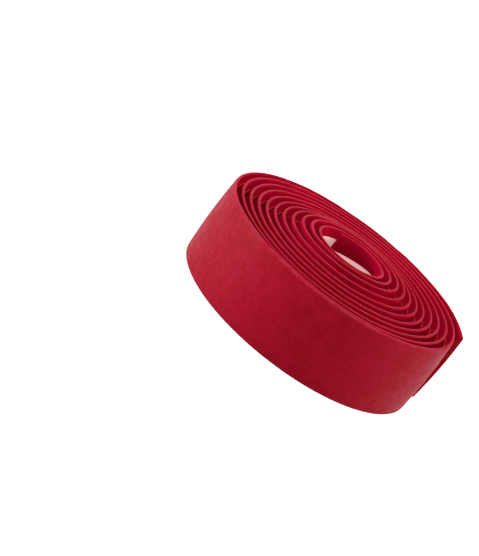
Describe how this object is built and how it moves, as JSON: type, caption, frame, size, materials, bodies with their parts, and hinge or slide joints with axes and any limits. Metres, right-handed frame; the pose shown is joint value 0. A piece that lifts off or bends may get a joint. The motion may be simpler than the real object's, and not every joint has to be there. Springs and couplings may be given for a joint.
{
  "type": "handlebar tape roll",
  "caption": "Padded foam handlebar tape wound into a loose flat spiral roll with a free outer end, a raised core and release paper on its back.",
  "frame": {"origin": "centre of the roll's box, on the surface that the roll lies on", "axes": "+Z along the winding axis, up out of the face whose core stands proud; +X towards the free outer end"},
  "size_m": [0.0978, 0.0958, 0.0333],
  "materials": {
    "foam": "matt, suede-like closed-cell foam",
    "paper": "smooth, slightly glossy release paper"
  },
  "bodies": {
    "root": {"foam_tape": "foam", "release_paper": "paper"}
  },
  "joints": []
}
